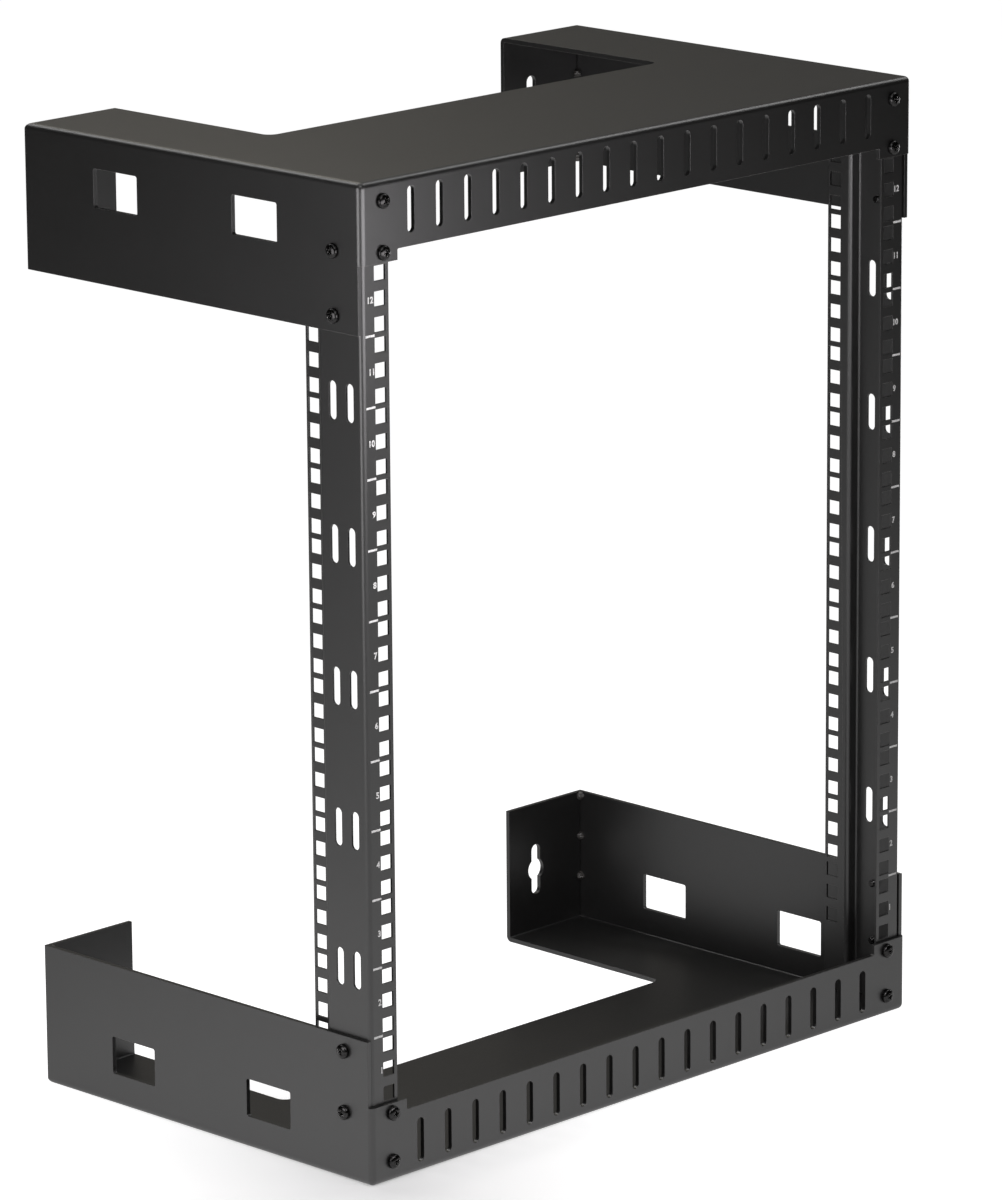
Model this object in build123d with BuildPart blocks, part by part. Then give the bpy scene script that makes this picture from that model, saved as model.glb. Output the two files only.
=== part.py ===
from build123d import *
import os

# Wall mount open frame rack, twelve rack units high, bolted up from four folded
# sheet pieces: a bottom and a top wall bracket, and a left and a right rail.
# X runs from left to right, Y from front to back and Z up. The origin is on the
# underside of the bottom bracket, at the middle of the whole part.

# Rack unit pattern
unit_height = 44.45
unit_count = 12
hole_pitch = 15.875
column_spacing = 465.1
cage_hole = 9.5

# Wall brackets, both folded from the same blank
sheet = 3.0
bend_inner_radius = 0.8
column_to_side = 18.45
bracket_depth = 302.0
flange_height = 94.0
apron_height = 44.0
tab_foot = 6.55
tab_margin = 12.5
step_radius = 1.0
strip_depth = 156.0
notch_radius = 7.0

# Upright slots in the front apron
vent_width = 6.0
vent_pitch = 24.5
vent_low_margin = 6.8
vent_high_margin = 8.2
vent_end_margin = 10.0

# Cable holes in the side flanges
cable_hole_length = 40.0
cable_hole_height = 25.0
cable_hole_radius = 1.5
cable_hole_rise = 21.0
cable_hole_behind_rail = 12.25
cable_hole_from_back = 83.5

# Double keyholes in the rear flanges, one per wall stud
stud_spacing = 406.4
keyhole_bore = 15.0
keyhole_slot_width = 8.5
keyhole_length = 36.0
keyhole_margin = 26.2

# Rear corner seams and their tack welds
seam_gap = 0.5
weld_radius = 2.8
weld_pitch = 29.0
weld_count = 3
weld_margin = 3.0

# Rails
rail_sheet = 1.5
rail_bend_inner_radius = 1.5
rail_end_clearance = 0.8
rail_flange_margin = 7.35
web_depth = 39.0
jog_offset = 8.25
strip_length = 18.75
strip_hole_margin = 1.5

# Slots in the rail webs
web_slot_length = 24.5
web_slot_width = 6.5
web_slot_pitch = 90.0
web_slot_end_margin = 60.0
web_slot_front = 11.3
web_slot_back = 12.7

# Screws
screw_diameter = 5.0
screw_length = 8.0
screw_clearance = 0.25
thread_clearance = 0.05
head_diameter = 9.5
head_height = 3.7
head_rim = 1.7
head_crown = 5.6
recess_span = 4.9
recess_width = 1.2
recess_depth = 2.2
side_screw_from_front = 21.0
side_screw_margin = 10.0
side_screw_pitch = 40.0

# Heights that follow from the unit pattern
first_hole = (unit_height - 2 * hole_pitch) / 2
opening_height = unit_count * unit_height
tab_height = tab_foot + unit_height
rack_height = opening_height + 2 * tab_height
middle_height = rack_height / 2

# Bracket planes
bend_radius = bend_inner_radius + sheet
column_x = column_spacing / 2
side_x = column_x + column_to_side
bracket_width = 2 * side_x
inner_side_x = side_x - sheet
tab_inner_x = column_x - tab_margin
front_y = (head_height - bracket_depth) / 2
back_y = front_y + bracket_depth
bracket_middle_y = (front_y + back_y) / 2
inner_back_y = back_y - sheet
keyhole_x = stud_spacing / 2
arm_inner_x = keyhole_x - keyhole_margin

# Rail planes
rail_centre_radius = rail_bend_inner_radius + rail_sheet / 2
rail_bottom = bend_radius + rail_end_clearance
rail_length = rack_height - 2 * rail_bottom
rail_front_y = front_y + sheet
rail_back_y = rail_front_y + web_depth + strip_length
flange_centre_y = rail_front_y + rail_sheet / 2
jog_centre_y = rail_front_y + web_depth - rail_sheet / 2
web_centre_x = inner_side_x - rail_sheet / 2
strip_centre_x = web_centre_x - jog_offset

# Slots and holes in the brackets
vent_length = apron_height - vent_low_margin - vent_high_margin
vent_level = vent_low_margin + vent_length / 2
vent_row = 2 * (tab_inner_x - vent_end_margin)
vent_count = int(vent_row / vent_pitch) + 1
front_cable_y = rail_back_y + cable_hole_behind_rail + cable_hole_length / 2
back_cable_y = back_y - cable_hole_from_back
cable_level = cable_hole_rise + cable_hole_height / 2
weld_levels = [flange_height - weld_margin - weld_pitch * step for step in range(weld_count)]

# Holes in the rails
unit_levels = [tab_height + unit_height * unit for unit in range(unit_count)]
hole_offsets = [first_hole, first_hole + hole_pitch, first_hole + 2 * hole_pitch]
hole_levels = [level + offset for level in unit_levels for offset in hole_offsets]
strip_hole_y = rail_back_y - strip_hole_margin - cage_hole / 2
web_slot_row = opening_height - 2 * web_slot_end_margin
web_slot_count = int(web_slot_row / web_slot_pitch) + 1
web_slot_y = [rail_front_y + web_slot_front, rail_front_y + web_depth - web_slot_back]

# Screw seats
front_screw_levels = [tab_height - first_hole, tab_height - first_hole - 2 * hole_pitch]
side_screw_levels = [flange_height - side_screw_margin]
side_screw_levels.append(flange_height - side_screw_margin - side_screw_pitch)
side_screw_y = rail_front_y + side_screw_from_front
clearance_bore = screw_diameter / 2 + screw_clearance
thread_bore = screw_diameter / 2 + thread_clearance

front_face = Plane.XZ.offset(-front_y)
back_face = Plane.XZ.offset(-back_y)
rail_face = Plane.XZ.offset(-rail_front_y)
middle_plane = Plane.XY.offset(middle_height)


def both_ends(levels):
    return levels + [rack_height - level for level in levels]


# Bottom bracket. Its plate lies on the floor and its flanges stand up.
with BuildPart() as bottom_bracket:
    # Plate with a wall all round, as high as the front tabs
    with BuildSketch() as tray_outline:
        with Locations((0, bracket_middle_y)):
            Rectangle(bracket_width, bracket_depth)
        fillet(tray_outline.vertices().group_by(Axis.Y)[0], radius=bend_radius)
    extrude(amount=tab_height)
    fillet(faces().sort_by(Axis.Z)[0].edges(), radius=bend_radius)
    offset(amount=-sheet, openings=faces().sort_by(Axis.Z)[-1])

    # Side and rear flanges go on up past the tabs, clear of the folded front corners
    with BuildSketch(Plane.XY.offset(tab_height)) as flange_tops:
        with Locations((-side_x, rail_front_y), (inner_side_x, rail_front_y)):
            Rectangle(sheet, bracket_depth - sheet, align=(Align.MIN, Align.MIN))
        with Locations((0, back_y - sheet / 2)):
            Rectangle(bracket_width, sheet)
    extrude(amount=flange_height - tab_height)

    # The apron between the tabs is lower
    with BuildSketch(front_face) as apron_edge:
        with Locations((0, apron_height)):
            Rectangle(2 * tab_inner_x, tab_height, align=(Align.CENTER, Align.MIN))
        fillet(apron_edge.vertices().group_by(Axis.Z)[0], radius=step_radius)
    extrude(amount=-sheet, mode=Mode.SUBTRACT)

    # The plate is open between two arms that run back to the rear flanges
    with BuildSketch() as notch:
        with Locations((0, front_y + strip_depth)):
            Rectangle(2 * arm_inner_x, bracket_depth, align=(Align.CENTER, Align.MIN))
        fillet(notch.vertices().group_by(Axis.Y)[0], radius=notch_radius)
    extrude(amount=flange_height, mode=Mode.SUBTRACT)

    # The rear flange butts against the side flange and is tacked to it inside
    with BuildSketch(Plane.XY.offset(bend_radius)) as rear_seams:
        seam_x = inner_side_x - seam_gap / 2
        with Locations((-seam_x, back_y - sheet / 2), (seam_x, back_y - sheet / 2)):
            Rectangle(seam_gap, sheet)
    extrude(amount=flange_height, mode=Mode.SUBTRACT)
    for side, turn in ((1, 180), (-1, 270)):
        for level in weld_levels:
            with Locations((side * inner_side_x, inner_back_y, level)):
                Sphere(radius=weld_radius, arc_size3=90, rotation=(0, 0, turn))

    # Row of upright slots along the apron, and the screw holes in the tabs
    with BuildSketch(front_face) as front_cuts:
        with Locations((0, vent_level)):
            with GridLocations(vent_pitch, 0, vent_count, 1):
                SlotOverall(vent_length, vent_width, rotation=90)
        for level in front_screw_levels:
            with Locations((-column_x, level), (column_x, level)):
                Circle(clearance_bore)
    extrude(amount=-sheet, mode=Mode.SUBTRACT)

    # Cable holes and screw holes through both side flanges
    with BuildSketch(Plane.YZ) as side_cuts:
        with Locations((front_cable_y, cable_level), (back_cable_y, cable_level)):
            RectangleRounded(cable_hole_length, cable_hole_height, cable_hole_radius)
        for level in side_screw_levels:
            with Locations((side_screw_y, level)):
                Circle(clearance_bore)
    extrude(amount=side_x, both=True, mode=Mode.SUBTRACT)

    # Keyholes that open into a slot both ways, so the bracket hangs either way up
    with BuildSketch(back_face) as keyholes:
        with Locations((-keyhole_x, flange_height / 2), (keyhole_x, flange_height / 2)):
            Circle(keyhole_bore / 2)
            SlotOverall(keyhole_length, keyhole_slot_width, rotation=90)
    extrude(amount=sheet, mode=Mode.SUBTRACT)

# Top bracket: the same piece turned over
with BuildPart() as top_bracket:
    mirror(bottom_bracket.part, about=middle_plane)

# Right rail: a front flange, a web, a jog inward and a rear strip
with BuildPart() as right_rail:
    with BuildSketch(Plane.XY.offset(rail_bottom)) as rail_section:
        with BuildLine() as rail_bends:
            FilletPolyline(
                (column_x - rail_flange_margin, flange_centre_y),
                (web_centre_x, flange_centre_y),
                (web_centre_x, jog_centre_y),
                (strip_centre_x, jog_centre_y),
                (strip_centre_x, rail_back_y),
                radius=rail_centre_radius,
            )
        trace(line_width=rail_sheet)
    extrude(amount=rail_length)

    # Square holes for cage nuts in the front flange, and the tapped screw holes
    with BuildSketch(rail_face) as flange_cuts:
        for level in hole_levels:
            with Locations((column_x, level)):
                Rectangle(cage_hole, cage_hole)
        for level in both_ends(front_screw_levels):
            with Locations((column_x, level)):
                Circle(thread_bore)
    extrude(amount=-rail_sheet, mode=Mode.SUBTRACT)

    # Pairs of slots up the web, and its tapped screw holes
    with BuildSketch(Plane.YZ.offset(web_centre_x)) as web_cuts:
        for slot_y in web_slot_y:
            with Locations((slot_y, middle_height)):
                with GridLocations(0, web_slot_pitch, 1, web_slot_count):
                    SlotOverall(web_slot_length, web_slot_width, rotation=90)
        for level in both_ends(side_screw_levels):
            with Locations((side_screw_y, level)):
                Circle(thread_bore)
    extrude(amount=rail_sheet, both=True, mode=Mode.SUBTRACT)

    # The rear strip repeats the front flange's square holes
    with BuildSketch(Plane.YZ.offset(strip_centre_x)) as strip_cuts:
        for level in hole_levels:
            with Locations((strip_hole_y, level)):
                Rectangle(cage_hole, cage_hole)
    extrude(amount=rail_sheet, both=True, mode=Mode.SUBTRACT)

with BuildPart() as left_rail:
    mirror(right_rail.part, about=Plane.YZ)


def pan_head_screw(seat):
    # The seat plane lies under the head and faces out along the screw
    half_section = Plane(seat.origin, x_dir=seat.x_dir, z_dir=-seat.y_dir)
    with BuildPart() as screw:
        with BuildSketch(half_section):
            with BuildLine():
                Polyline(
                    (0, -screw_length),
                    (screw_diameter / 2, -screw_length),
                    (screw_diameter / 2, 0),
                    (head_diameter / 2, 0),
                    (head_diameter / 2, head_rim),
                    (head_crown / 2, head_height),
                    (0, head_height),
                    close=True,
                )
            make_face()
        revolve(axis=Axis(seat.origin, seat.z_dir))
        with BuildSketch(seat.offset(head_height)):
            Rectangle(recess_span, recess_width)
            Rectangle(recess_width, recess_span)
        extrude(amount=-recess_depth, mode=Mode.SUBTRACT)
    return screw.part


front_seats = []
side_seats = []
for side in (-1, 1):
    for level in both_ends(front_screw_levels):
        front_seats.append(Plane((side * column_x, front_y, level), x_dir=(1, 0, 0), z_dir=(0, -1, 0)))
    for level in both_ends(side_screw_levels):
        side_seats.append(Plane((side * side_x, side_screw_y, level), x_dir=(0, 1, 0), z_dir=(side, 0, 0)))

bottom_bracket.part.label = "bottom_bracket"
top_bracket.part.label = "top_bracket"
left_rail.part.label = "left_rail"
right_rail.part.label = "right_rail"
pieces = [bottom_bracket.part, top_bracket.part, left_rail.part, right_rail.part]
for name, seats in (("front_screw", front_seats), ("side_screw", side_seats)):
    for number, seat in enumerate(seats, start=1):
        screw = pan_head_screw(seat)
        screw.label = f"{name}_{number}"
        pieces.append(screw)

os.makedirs("parts", exist_ok=True)
for piece in pieces:
    export_step(piece, f"parts/{piece.label}.step")
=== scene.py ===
import math

import bmesh
import bpy
from mathutils import Matrix, Vector, noise


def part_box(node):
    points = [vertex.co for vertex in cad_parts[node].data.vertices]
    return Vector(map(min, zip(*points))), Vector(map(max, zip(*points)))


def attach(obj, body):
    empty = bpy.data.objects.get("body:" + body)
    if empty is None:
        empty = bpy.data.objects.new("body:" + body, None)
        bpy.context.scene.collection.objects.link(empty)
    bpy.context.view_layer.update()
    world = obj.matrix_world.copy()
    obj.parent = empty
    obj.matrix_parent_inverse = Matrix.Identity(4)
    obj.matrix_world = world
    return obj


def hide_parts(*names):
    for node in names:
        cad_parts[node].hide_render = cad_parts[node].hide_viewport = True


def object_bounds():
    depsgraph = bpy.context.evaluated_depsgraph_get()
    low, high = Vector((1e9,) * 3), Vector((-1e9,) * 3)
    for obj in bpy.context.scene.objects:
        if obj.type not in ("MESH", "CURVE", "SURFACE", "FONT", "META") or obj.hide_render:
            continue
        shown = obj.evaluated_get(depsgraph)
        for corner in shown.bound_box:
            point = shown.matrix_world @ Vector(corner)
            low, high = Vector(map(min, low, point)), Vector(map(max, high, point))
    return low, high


# Looks of a wall mount open frame rack: black powder coat on the folded sheet,
# cross recess screws, tack welds and the printed unit marks on the rails.
# Lengths are in metres and powers in watts.

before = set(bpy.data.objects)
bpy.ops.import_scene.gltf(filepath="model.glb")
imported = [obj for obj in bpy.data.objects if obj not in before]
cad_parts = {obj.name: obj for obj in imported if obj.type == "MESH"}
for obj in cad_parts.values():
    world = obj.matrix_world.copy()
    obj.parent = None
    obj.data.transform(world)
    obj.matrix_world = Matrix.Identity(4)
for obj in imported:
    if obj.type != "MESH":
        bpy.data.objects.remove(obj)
cad_low, cad_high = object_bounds()

MM = 0.001
ROOT = "root"

# Sizes that the marks, welds and screws share with the frame
UNIT = 44.45 * MM
UNIT_COUNT = 12
COLUMN_X = 465.1 / 2 * MM
CAGE_HOLE = 9.5 * MM
BRACKET_SHEET = 3.0 * MM
SCREW_LENGTH = 8.0 * MM

bottom_low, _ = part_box("bottom_bracket")
_, top_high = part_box("top_bracket")
rail_low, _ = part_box("right_rail")
RACK_MIDDLE = (bottom_low.z + top_high.z) / 2
OPENING_LOW = RACK_MIDDLE - UNIT * UNIT_COUNT / 2
RAIL_FRONT_Y = rail_low.y


# Shader helpers

def new_material(name):
    material = bpy.data.materials.new(name)
    material.use_nodes = True
    nodes = material.node_tree.nodes
    return material, nodes, material.node_tree.links, nodes["Principled BSDF"]


def add_noise(nodes, links, coordinates, scale, detail, roughness=0.5):
    node = nodes.new("ShaderNodeTexNoise")
    node.inputs["Scale"].default_value = scale
    node.inputs["Detail"].default_value = detail
    node.inputs["Roughness"].default_value = roughness
    links.new(coordinates, node.inputs["Vector"])
    return node.outputs["Fac"]


def add_range(nodes, links, value, low, high, from_low=0.3, from_high=0.7):
    node = nodes.new("ShaderNodeMapRange")
    node.inputs["From Min"].default_value = from_low
    node.inputs["From Max"].default_value = from_high
    node.inputs["To Min"].default_value = low
    node.inputs["To Max"].default_value = high
    links.new(value, node.inputs["Value"])
    return node.outputs["Result"]


def add_mix(nodes, links, factor, first, second):
    node = nodes.new("ShaderNodeMix")
    node.data_type = "RGBA"
    links.new(factor, node.inputs["Factor"])
    for key, value in (("A", first), ("B", second)):
        socket = next(s for s in node.inputs if s.name == key and s.type == "RGBA")
        if isinstance(value, tuple):
            socket.default_value = (*value, 1.0)
        else:
            links.new(value, socket)
    return next(s for s in node.outputs if s.type == "RGBA")


def add_math(nodes, links, operation, *values):
    node = nodes.new("ShaderNodeMath")
    node.operation = operation
    for socket, value in zip(node.inputs, values):
        links.new(value, socket)
    return node.outputs["Value"]


def add_vector_math(nodes, links, operation, first, second):
    node = nodes.new("ShaderNodeVectorMath")
    node.operation = operation
    links.new(first, node.inputs[0])
    if isinstance(second, tuple):
        node.inputs[1].default_value = second
    else:
        links.new(second, node.inputs[1])
    return node.outputs["Value"]


def add_bump(nodes, links, strength, distance, height, normal):
    node = nodes.new("ShaderNodeBump")
    node.inputs["Strength"].default_value = strength
    node.inputs["Distance"].default_value = distance
    links.new(height, node.inputs["Height"])
    links.new(normal, node.inputs["Normal"])
    return node.outputs["Normal"]


BEVEL_SAMPLES = 4


def edge_mask(nodes, links, radius):
    """1 on a sharp edge and 0 away from it, and the rounded normal that it comes from."""
    bevel = nodes.new("ShaderNodeBevel")
    bevel.samples = BEVEL_SAMPLES
    bevel.inputs["Radius"].default_value = radius
    rounded = bevel.outputs["Normal"]
    glow_with_painted_shadow = nodes.new("ShaderNodeNewGeometry").outputs["Normal"]
    turned = add_vector_math(nodes, links, "DOT_PRODUCT", rounded, glow_with_painted_shadow)
    return add_range(nodes, links, turned, 1.0, 0.0, 0.80, 0.995), rounded


# Materials

CLOUD_SCALE = 18.0
GRAIN_SCALE = 1500.0
PEEL_SCALE = 520.0
SPECK_SHARE = 0.05
COAT_SPECULAR = 1.0
# Pale grey painted on cut edges that face down, a painted reflection of the floor.
DOWN_EDGE_REFLECTION = (0.30, 0.29, 0.28)


def powder_coat(name, dark, light, edge, rough_low, rough_high, edge_radius):
    """Satin black powder coat: fine grain, faint cloudiness, and edges lightened in colour as a
    painted highlight.

    Cut edges that face down are painted a lighter grey, a painted reflection of the bright floor
    below them.
    """
    material, nodes, links, shader = new_material(name)
    coordinates = nodes.new("ShaderNodeTexCoord").outputs["Object"]
    cloud = add_noise(nodes, links, coordinates, CLOUD_SCALE, 3.0)
    grain = add_noise(nodes, links, coordinates, GRAIN_SCALE, 2.0, 0.6)
    orange_peel = add_noise(nodes, links, coordinates, PEEL_SCALE, 1.0)
    highlight_mask, rounded = edge_mask(nodes, links, edge_radius)

    base = add_mix(nodes, links, add_range(nodes, links, cloud, 0.0, 1.0), dark, light)
    speck = add_range(nodes, links, grain, 0.0, SPECK_SHARE, 0.52, 0.78)
    base = add_mix(nodes, links, speck, base, edge)
    # Painted highlight: sharp edges are lightened toward the edge colour, which the grain specks
    # also use.
    base = add_mix(nodes, links, highlight_mask, base, edge)
    split = nodes.new("ShaderNodeSeparateXYZ")
    links.new(rounded, split.inputs["Vector"])
    downward = add_range(nodes, links, split.outputs["Z"], 1.0, 0.0, -0.45, -0.10)
    # Painted reflection: edges that face down are lightened toward the pale grey.
    base = add_mix(nodes, links, add_math(nodes, links, "MULTIPLY", highlight_mask, downward), base, DOWN_EDGE_REFLECTION)
    links.new(base, shader.inputs["Base Color"])

    roughness = add_range(nodes, links, grain, rough_low, rough_high)
    links.new(roughness, shader.inputs["Roughness"])
    shader.inputs["Specular IOR Level"].default_value = COAT_SPECULAR
    peel = add_bump(nodes, links, 0.25, 0.05 * MM, orange_peel, rounded)
    fine = add_bump(nodes, links, 0.35, 0.04 * MM, grain, peel)
    links.new(fine, shader.inputs["Normal"])
    return material


def black_zinc(name):
    """Black plated screws: a blotchy dark metal with brighter edges, a painted highlight on the
    rims.
    """
    material, nodes, links, shader = new_material(name)
    coordinates = nodes.new("ShaderNodeTexCoord").outputs["Object"]
    blotch = add_noise(nodes, links, coordinates, 900.0, 3.0)
    highlight_mask, rounded = edge_mask(nodes, links, 0.15 * MM)
    shade = add_range(nodes, links, blotch, 0.0, 1.0)
    base = add_mix(nodes, links, shade, (0.022, 0.0215, 0.0215), (0.050, 0.049, 0.049))
    # Painted highlight: the screw's edges are lightened toward a pale grey.
    base = add_mix(nodes, links, highlight_mask, base, (0.45, 0.44, 0.43))
    links.new(base, shader.inputs["Base Color"])
    links.new(add_range(nodes, links, blotch, 0.20, 0.30), shader.inputs["Roughness"])
    shader.inputs["Metallic"].default_value = 1.0
    links.new(add_bump(nodes, links, 0.15, 0.03 * MM, blotch, rounded), shader.inputs["Normal"])
    return material


def white_ink(name):
    """Screen printed ink, a little thin in places."""
    material, nodes, links, shader = new_material(name)
    coordinates = nodes.new("ShaderNodeTexCoord").outputs["Object"]
    thin = add_noise(nodes, links, coordinates, 1400.0, 2.0)
    cover = add_range(nodes, links, thin, 0.0, 1.0, 0.35, 0.5)
    base = add_mix(nodes, links, cover, (0.60, 0.60, 0.59), (0.82, 0.82, 0.81))
    links.new(base, shader.inputs["Base Color"])
    shader.inputs["Roughness"].default_value = 0.6
    return material


# The third colour of each coat is its speck colour and its painted edge highlight.
bracket_paint = powder_coat(
    "bracket_powder_coat",
    (0.0045, 0.0044, 0.0043), (0.0065, 0.0063, 0.0061), (0.025, 0.024, 0.023),
    0.35, 0.42, 0.35 * MM)
rail_paint = powder_coat(
    "rail_powder_coat",
    (0.0048, 0.0047, 0.0046), (0.0070, 0.0068, 0.0066), (0.035, 0.034, 0.033),
    0.35, 0.42, 0.35 * MM)
weld_paint = powder_coat(
    "weld_powder_coat",
    (0.020, 0.018, 0.016), (0.045, 0.041, 0.037), (0.11, 0.10, 0.09),
    0.38, 0.52, 0.3 * MM)
screw_finish = black_zinc("black_zinc")
ink = white_ink("white_ink")
for node, paint in (("bottom_bracket", bracket_paint), ("top_bracket", bracket_paint),
                    ("left_rail", rail_paint), ("right_rail", rail_paint)):
    for material_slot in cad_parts[node].material_slots:
        material_slot.material = paint


# Pieces

def add_piece(name, mesh, material):
    piece = bpy.data.objects.new(name, mesh)
    bpy.context.scene.collection.objects.link(piece)
    mesh.materials.clear()
    mesh.materials.append(material)
    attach(piece, ROOT)
    return piece


def mesh_from(bm, name, smooth_below=None):
    bmesh.ops.recalc_face_normals(bm, faces=bm.faces)
    mesh = bpy.data.meshes.new(name)
    bm.to_mesh(mesh)
    bm.free()
    if smooth_below is not None:
        smooth(mesh, smooth_below)
    return mesh


def smooth(mesh, degrees):
    mesh.shade_smooth()
    mesh.set_sharp_from_angle(angle=math.radians(degrees))


# M5 pan head screw, drawn along +Z with its head up and its seat at the origin
HEAD_RADIUS = 4.75 * MM
HEAD_HEIGHT = 3.7 * MM
RIM_ROUND = 0.35 * MM
RIM_STEPS = 4
HEAD_WALL_TOP = 1.35 * MM
CROWN_STEPS = 12
CROWN_POWER = 0.75
SHANK_RADIUS = 2.5 * MM
TIP_RADIUS = 1.75 * MM
THREAD_DEPTH = 0.42 * MM
THREAD_PITCH = 0.8 * MM
RING_STEP = 0.16 * MM
SEGMENTS = 48
SCREW_SMOOTH_BELOW = 38

# The cross recess: wings as half lengths and half widths at their top and floor
RECESS_RISE = 0.3 * MM
WING_DEPTH = 2.1 * MM
WING_TOP = (2.65 * MM, 0.66 * MM)
WING_FLOOR = (1.05 * MM, 0.40 * MM)
CONE_RADIUS = 1.45 * MM
CONE_DEPTH = 2.6 * MM
CONE_SIDES = 16

# Each screw stopped at its own turn
FIRST_TURN = 12
TURN_STEP = 37


def thread_radius(z, turn):
    phase = (z / THREAD_PITCH - turn) % 1.0
    flank = abs(2 * phase - 1)
    radius = SHANK_RADIUS - THREAD_DEPTH * flank
    tip_limit = TIP_RADIUS + (z + SCREW_LENGTH)
    return min(radius, tip_limit)


def head_profile():
    """Radius and height from the seat out to the rim and in over the crown."""
    rim_start = HEAD_RADIUS - RIM_ROUND
    points = [(SHANK_RADIUS - THREAD_DEPTH, 0.0), (rim_start, 0.0)]
    for step in range(1, RIM_STEPS + 1):
        angle = math.radians(90 * step / RIM_STEPS)
        points.append((HEAD_RADIUS - RIM_ROUND * (1 - math.sin(angle)),
                       RIM_ROUND * (1 - math.cos(angle))))
    points.append((HEAD_RADIUS, HEAD_WALL_TOP))
    for step in range(1, CROWN_STEPS):
        angle = math.radians(90 * step / CROWN_STEPS)
        points.append((HEAD_RADIUS * math.cos(angle) ** CROWN_POWER,
                       HEAD_WALL_TOP + (HEAD_HEIGHT - HEAD_WALL_TOP) * math.sin(angle)))
    return points


def screw_body():
    bm = bmesh.new()
    rings = []
    for index in range(int(SCREW_LENGTH / RING_STEP)):
        z = -SCREW_LENGTH + RING_STEP * index
        rings.append([(thread_radius(z, k / SEGMENTS), z) for k in range(SEGMENTS)])
    for radius, z in head_profile():
        rings.append([(radius, z)] * SEGMENTS)
    rows = []
    for ring in rings:
        row = []
        for k, (radius, z) in enumerate(ring):
            angle = 2 * math.pi * k / SEGMENTS
            row.append(bm.verts.new((radius * math.cos(angle), radius * math.sin(angle), z)))
        rows.append(row)
    for lower, upper in zip(rows, rows[1:]):
        for k in range(SEGMENTS):
            after = (k + 1) % SEGMENTS
            bm.faces.new((lower[k], lower[after], upper[after], upper[k]))
    bm.faces.new(rows[0])
    bm.faces.new(rows[-1])
    return bm


def hull_object(name, points):
    bm = bmesh.new()
    for point in points:
        bm.verts.new(point)
    bmesh.ops.convex_hull(bm, input=bm.verts)
    cutter = bpy.data.objects.new(name, mesh_from(bm, name))
    bpy.context.scene.collection.objects.link(cutter)
    return cutter


def recess_cutters():
    """Two crossed wings that narrow downward, and a cone between them."""
    top = HEAD_HEIGHT + RECESS_RISE
    floor = HEAD_HEIGHT - WING_DEPTH
    cutters = []
    for turn in (0, 90):
        spin = Matrix.Rotation(math.radians(turn), 3, "Z")
        points = []
        for sx in (-1, 1):
            for sy in (-1, 1):
                for (length, width), level in ((WING_TOP, top), (WING_FLOOR, floor)):
                    points.append(spin @ Vector((sx * length, sy * width, level)))
        cutters.append(hull_object(f"wing_{turn}", points))
    cone = []
    for step in range(CONE_SIDES):
        angle = 2 * math.pi * step / CONE_SIDES
        cone.append((CONE_RADIUS * math.cos(angle), CONE_RADIUS * math.sin(angle), top))
    cone.append((0, 0, HEAD_HEIGHT - CONE_DEPTH))
    cutters.append(hull_object("cone", cone))
    return cutters


def evaluated_mesh(holder):
    bpy.context.view_layer.update()
    evaluated = holder.evaluated_get(bpy.context.evaluated_depsgraph_get())
    return bpy.data.meshes.new_from_object(evaluated)


def make_screw_mesh():
    body = bpy.data.objects.new("screw_blank", mesh_from(screw_body(), "screw_blank"))
    bpy.context.scene.collection.objects.link(body)
    cutters = recess_cutters()
    for cutter in cutters:
        cut = body.modifiers.new(cutter.name, "BOOLEAN")
        cut.operation = "DIFFERENCE"
        cut.solver = "EXACT"
        cut.object = cutter
    mesh = evaluated_mesh(body)
    for spare in [body, *cutters]:
        bpy.data.objects.remove(spare)
    smooth(mesh, SCREW_SMOOTH_BELOW)
    return mesh


def screw_seat(node):
    """Where a screw's head seats, and the way that the head faces."""
    low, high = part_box(node)
    centre = (low + high) / 2
    if node.startswith("front"):
        return Vector((centre.x, low.y + HEAD_HEIGHT, centre.z)), Vector((0, -1, 0))
    side = 1 if centre.x > 0 else -1
    edge = high.x if side > 0 else low.x
    return Vector((edge - side * HEAD_HEIGHT, centre.y, centre.z)), Vector((side, 0, 0))


def place_screws():
    master = make_screw_mesh()
    nodes = sorted(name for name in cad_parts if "screw" in name)
    for index, node in enumerate(nodes):
        seat, facing = screw_seat(node)
        turn = Matrix.Rotation(math.radians(TURN_STEP * index + FIRST_TURN), 4, "Z")
        aim = facing.to_track_quat("Z", "Y").to_matrix().to_4x4()
        mesh = master.copy()
        mesh.transform(Matrix.Translation(seat) @ aim @ turn)
        piece = add_piece(f"{node}_detail", mesh, screw_finish)
        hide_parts(node)
    bpy.data.meshes.remove(master)


# Printed unit marks on the front flanges: a line at each unit boundary, a number at each unit
INK_THICKNESS = 0.06 * MM
INK_LIFT = 0.01 * MM
LINE_HEIGHT = 1.4 * MM
LINE_OUTER_X = 245.0 * MM
DIGIT_HEIGHT = 4.2 * MM
DIGIT_INNER_X = 238.2 * MM
DIGIT_BOLDNESS = 0.03
DIGIT_CURVE_STEPS = 4


def add_box(bm, low, high):
    made = bmesh.ops.create_cube(bm, size=1.0)["verts"]
    size = Vector(high) - Vector(low)
    middle = (Vector(high) + Vector(low)) / 2
    bmesh.ops.scale(bm, vec=size, verts=made)
    bmesh.ops.translate(bm, vec=middle, verts=made)


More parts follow.
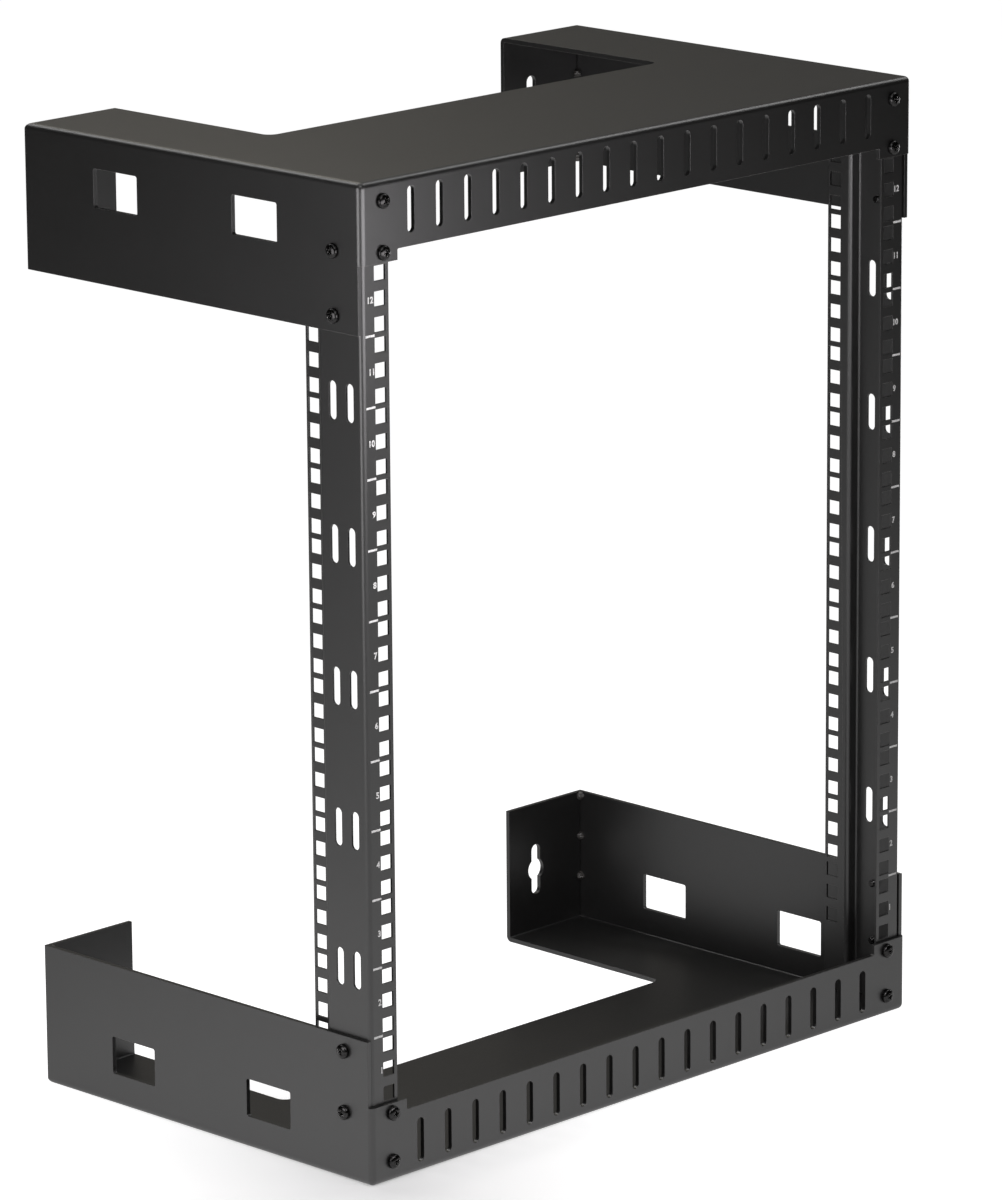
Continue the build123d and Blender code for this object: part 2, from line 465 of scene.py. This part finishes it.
def number_mesh(text):
    """A number as a flat raised mesh in the XZ plane, lower left corner at the origin."""
    curve = bpy.data.curves.new(f"number_{text}", "FONT")
    curve.body = text
    curve.size = 1.0
    curve.extrude = 0.5
    curve.offset = DIGIT_BOLDNESS
    curve.resolution_u = DIGIT_CURVE_STEPS
    holder = bpy.data.objects.new(f"number_{text}", curve)
    bpy.context.scene.collection.objects.link(holder)
    mesh = evaluated_mesh(holder)
    bpy.data.objects.remove(holder)
    low = Vector(min(v.co[i] for v in mesh.vertices) for i in range(3))
    high = Vector(max(v.co[i] for v in mesh.vertices) for i in range(3))
    scale = DIGIT_HEIGHT / (high.y - low.y)
    mesh.transform(Matrix.Translation((-low.x, -low.y, -high.z)))
    mesh.transform(Matrix.Diagonal((scale, scale, INK_THICKNESS, 1.0)))
    mesh.transform(Matrix.Rotation(math.radians(90), 4, "X"))
    width = (high.x - low.x) * scale
    return mesh, width


def place_marks(side, name):
    bm = bmesh.new()
    ink_back = RAIL_FRONT_Y - INK_LIFT + INK_THICKNESS / 2
    ink_front = RAIL_FRONT_Y - INK_LIFT - INK_THICKNESS / 2
    hole_edge = COLUMN_X + CAGE_HOLE / 2
    inner, outer = sorted((side * hole_edge, side * LINE_OUTER_X))
    for boundary in range(1, UNIT_COUNT):
        level = OPENING_LOW + UNIT * boundary
        add_box(bm, (inner, ink_front, level - LINE_HEIGHT / 2),
                (outer, ink_back, level + LINE_HEIGHT / 2))
    for unit in range(UNIT_COUNT):
        digits, width = number_mesh(str(unit + 1))
        left = DIGIT_INNER_X if side > 0 else -DIGIT_INNER_X - width
        level = OPENING_LOW + UNIT * (unit + 0.5) - DIGIT_HEIGHT / 2
        digits.transform(Matrix.Translation((left, ink_front, level)))
        bm.from_mesh(digits)
        bpy.data.meshes.remove(digits)
    add_piece(name, mesh_from(bm, name), ink)


# Tack welds: lumpy beads over the plain ones, in the inner rear corners of each bracket
WELD_MARGIN = 3.0 * MM
WELD_PITCH = 29.0 * MM
WELD_COUNT = 3
BEAD_SIZE = (3.5 * MM, 3.5 * MM, 2.9 * MM)
BEAD_REACH = 8 * MM
BEAD_SINK = 0.6 * MM
LUMP_SCALE = 1.7
LUMP_SHARE = 0.22
RIPPLE_RATE = 14
RIPPLE_SHARE = 0.06
SEED_STEP = 2.3
WELD_SMOOTH_BELOW = 50


def add_bead(bm, corner, side, seed):
    """A rippled bead in a corner, cut off a little inside the two sheets that it joins."""
    made = bmesh.ops.create_icosphere(bm, subdivisions=4, radius=1.0)["verts"]
    for vert in made:
        lump = noise.noise(vert.co * LUMP_SCALE + Vector((seed, 0, 0)))
        ripple = RIPPLE_SHARE * math.sin(vert.co.z * RIPPLE_RATE + seed)
        vert.co *= 1 + LUMP_SHARE * lump + ripple * (1 - abs(vert.co.z))
        vert.co = Vector(vert.co[axis] * BEAD_SIZE[axis] for axis in range(3)) + corner
    for normal, point in (((side, 0, 0), (corner.x + side * BEAD_SINK, 0, 0)),
                          ((0, 1, 0), (0, corner.y + BEAD_SINK, 0))):
        own = [v for v in bm.verts if (v.co - corner).length < BEAD_REACH]
        edges = dict.fromkeys(e for v in own for e in v.link_edges)
        faces = dict.fromkeys(f for v in own for f in v.link_faces)
        cut = bmesh.ops.bisect_plane(bm, geom=[*own, *edges, *faces],
                                     plane_co=point, plane_no=normal, clear_outer=True)
        rim = [e for e in cut["geom_cut"] if isinstance(e, bmesh.types.BMEdge)]
        bmesh.ops.holes_fill(bm, edges=rim, sides=0)


def place_welds(node, plate_z, inward):
    low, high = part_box(node)
    bm = bmesh.new()
    for side in (-1, 1):
        for step in range(WELD_COUNT):
            reach = (high.z - low.z) - WELD_MARGIN - WELD_PITCH * step
            corner = Vector((side * (high.x - BRACKET_SHEET), high.y - BRACKET_SHEET,
                             plate_z + inward * reach))
            add_bead(bm, corner, side, step * SEED_STEP + side)
    mesh = mesh_from(bm, f"{node}_welds", WELD_SMOOTH_BELOW)
    add_piece(f"{node}_welds", mesh, weld_paint)


place_screws()
place_marks(-1, "left_rail_marks")
place_marks(1, "right_rail_marks")
place_welds("bottom_bracket", bottom_low.z, 1)
place_welds("top_bracket", top_high.z, -1)


# Floor: white to the camera. Reflections meet a bright patch in front of the object, with a
# dim spot where the camera stands, and a second patch behind it for the other sides.
FLOOR_HALF = 6.0
FLOOR_COLOUR = (0.50, 0.50, 0.50)
# The floor's colour darkens away from the front patch, a painted shade where the lamps' light would
# fall off.
FAR_FLOOR_PAINTED_SHADE = (0.10, 0.10, 0.10)
PATCH_CENTRE = (-1.2, -1.6)
PATCH_RADIUS = 1.9
PATCH_FADE = 1.2
PATCH_GLOW = 0.60
SHADE_CENTRE = (-1.9, -1.8)
SHADE_RADIUS = 0.7
SHADE_FADE = 0.8
SHADE_LEVEL = 0.25
FAR_CENTRE = (1.2, 1.9)
FAR_RADIUS = 1.8
FAR_FADE = 0.6
FAR_GLOW = 0.40

# The camera sees the glow dimmed around the front left corner, a painted shadow there.
SHADOW_PATCH_CENTRE = (-0.25, -0.16)
SHADOW_PATCH_RADIUS = 0.35
PAINTED_SHADOW_GLOW = 0.32


def white_floor():
    material, nodes, links, shader = new_material("floor_white")
    shader.inputs["Roughness"].default_value = 0.9
    shader.inputs["Specular IOR Level"].default_value = 0.1
    path = nodes.new("ShaderNodeLightPath")
    position = nodes.new("ShaderNodeNewGeometry").outputs["Position"]

    def ring(centre, inside, outside, radius, fade):
        """A value that turns from inside to outside over the fade beyond the radius."""
        place = (*centre, cad_low.z)
        away = add_vector_math(nodes, links, "DISTANCE", position, place)
        return add_range(nodes, links, away, inside, outside, radius, radius + fade)

    # Painted shade: the floor's colour darkens beyond the front patch.
    painted_falloff = ring(PATCH_CENTRE, 0.0, 1.0, PATCH_RADIUS, PATCH_FADE)
    colour = add_mix(nodes, links, painted_falloff, FLOOR_COLOUR, FAR_FLOOR_PAINTED_SHADE)
    links.new(colour, shader.inputs["Base Color"])

    front = ring(PATCH_CENTRE, PATCH_GLOW, 0.0, PATCH_RADIUS, PATCH_FADE)
    shade = ring(SHADE_CENTRE, SHADE_LEVEL, 1.0, SHADE_RADIUS, SHADE_FADE)
    far = ring(FAR_CENTRE, FAR_GLOW, 0.0, FAR_RADIUS, FAR_FADE)
    patch = add_math(nodes, links, "MAXIMUM", add_math(nodes, links, "MULTIPLY", front, shade), far)
    mirrored = add_math(nodes, links, "MULTIPLY", path.outputs["Is Glossy Ray"], patch)
    # Painted shadow: the camera's glow is dimmed around the front left corner.
    glow_with_painted_shadow = ring(SHADOW_PATCH_CENTRE, PAINTED_SHADOW_GLOW, 1.0, 0.0, SHADOW_PATCH_RADIUS)
    seen = add_math(nodes, links, "MULTIPLY_ADD", path.outputs["Is Camera Ray"], glow_with_painted_shadow, mirrored)

    glow = nodes.new("ShaderNodeEmission")
    glow.inputs["Color"].default_value = (1.0, 1.0, 1.0, 1.0)
    links.new(seen, glow.inputs["Strength"])
    add = nodes.new("ShaderNodeAddShader")
    links.new(shader.outputs["BSDF"], add.inputs[0])
    links.new(glow.outputs["Emission"], add.inputs[1])
    links.new(add.outputs["Shader"], nodes["Material Output"].inputs["Surface"])
    return material


def add_floor():
    bm = bmesh.new()
    bmesh.ops.create_grid(bm, x_segments=1, y_segments=1, size=FLOOR_HALF)
    mesh = bpy.data.meshes.new("floor")
    bm.to_mesh(mesh)
    bm.free()
    floor = bpy.data.objects.new("floor", mesh)
    floor.location = (0, 0, cad_low.z)
    mesh.materials.append(white_floor())
    bpy.context.scene.collection.objects.link(floor)


# Lamps: name, place, aim, size, power, colour
MIDDLE = (0, 0, RACK_MIDDLE)
WHITE = (1.0, 1.0, 1.0)
LAMPS = (
    ("corner_soft", (-0.20, -0.52, 0.52), (-0.16, -0.1, 0.40), (0.50, 0.20), 1.8, (1.0, 0.97, 1.0)),
    ("side_soft", (-0.95, -0.1, 0.5), (0, 0, 0.35), (0.5, 0.5), 3.5, (1.0, 0.98, 1.0)),
    ("far_side_soft", (1.1, 0.15, 0.38), (0, 0, 0.35), (0.6, 0.3), 2.2, WHITE),
    ("back_soft", (0.60, 1.20, 1.90), (-0.1, 0, 0.6), (0.9, 0.9), 3.4, (1.0, 0.94, 0.82)),
    ("right_soft", (1.5, -0.3, 2.1), MIDDLE, (0.8, 0.8), 7.5, WHITE),
    ("left_soft", (-0.4, 1.5, 2.1), MIDDLE, (0.8, 0.8), 7.5, WHITE),
    ("floor_soft", (-1.3, -1.5, 2.4), (-0.9, -1.0, 0), (1.6, 1.6), 18, WHITE),
    ("top_soft", (0.2, 0.4, 2.8), MIDDLE, (2.4, 2.4), 14, WHITE),
)


def add_area(name, location, target, size, power, colour):
    data = bpy.data.lights.new(name, "AREA")
    data.shape = "RECTANGLE"
    data.size, data.size_y = size
    data.energy = power
    data.color = colour
    lamp = bpy.data.objects.new(name, data)
    lamp.location = location
    aim = Vector(target) - Vector(location)
    lamp.rotation_euler = aim.to_track_quat("-Z", "Y").to_euler()
    lamp.visible_camera = False
    bpy.context.scene.collection.objects.link(lamp)


# World: white to the camera. Other rays meet a dim studio, with a soft warm backdrop one way.
STUDIO_LEVEL = 0.02
BACKDROP_LEVEL = 0.13
BACKDROP_TINT = (1.0, 0.96, 0.88)
BACKDROP_FACING = (0.70, 0.70, 0.14)
BACKDROP_START = 0.4


def add_world():
    world = bpy.data.worlds.new("studio")
    world.use_nodes = True
    nodes, links = world.node_tree.nodes, world.node_tree.links
    background = nodes["Background"]
    to_camera = nodes.new("ShaderNodeLightPath").outputs["Is Camera Ray"]
    direction = nodes.new("ShaderNodeTexCoord").outputs["Generated"]
    facing = add_vector_math(nodes, links, "DOT_PRODUCT", direction, BACKDROP_FACING)
    studio = add_range(nodes, links, facing, STUDIO_LEVEL, BACKDROP_LEVEL, BACKDROP_START, 1.0)
    tint = add_mix(nodes, links, to_camera, BACKDROP_TINT, WHITE)
    links.new(tint, background.inputs["Color"])
    strength = nodes.new("ShaderNodeMix")
    links.new(to_camera, strength.inputs["Factor"])
    links.new(studio, strength.inputs["A"])
    strength.inputs["B"].default_value = 1.0
    links.new(strength.outputs["Result"], background.inputs["Strength"])
    bpy.context.scene.world = world


# The camera stands 4.5 m off the front left corner, 14 degrees above the horizon
PHOTO_HEIGHT = 1200
FOCAL_PIXELS = 6863.4
SENSOR_WIDTH = 36.0
CAMERA_PLACE = (-3.07796, -3.04961, 1.41517)
CAMERA_TURN = (75.6236, 0.4076, -45.5399)


def add_camera():
    data = bpy.data.cameras.new("camera")
    data.sensor_fit = "AUTO"
    data.sensor_width = SENSOR_WIDTH
    data.lens = FOCAL_PIXELS / PHOTO_HEIGHT * data.sensor_width
    data.clip_start = 0.1
    data.clip_end = 100.0
    camera = bpy.data.objects.new("camera", data)
    camera.location = CAMERA_PLACE
    camera.rotation_euler = [math.radians(angle) for angle in CAMERA_TURN]
    bpy.context.scene.collection.objects.link(camera)
    bpy.context.scene.camera = camera


add_floor()
for settings in LAMPS:
    add_area(*settings)
add_world()
add_camera()
bpy.context.scene.view_settings.view_transform = "Standard"

bpy.context.view_layer.update()
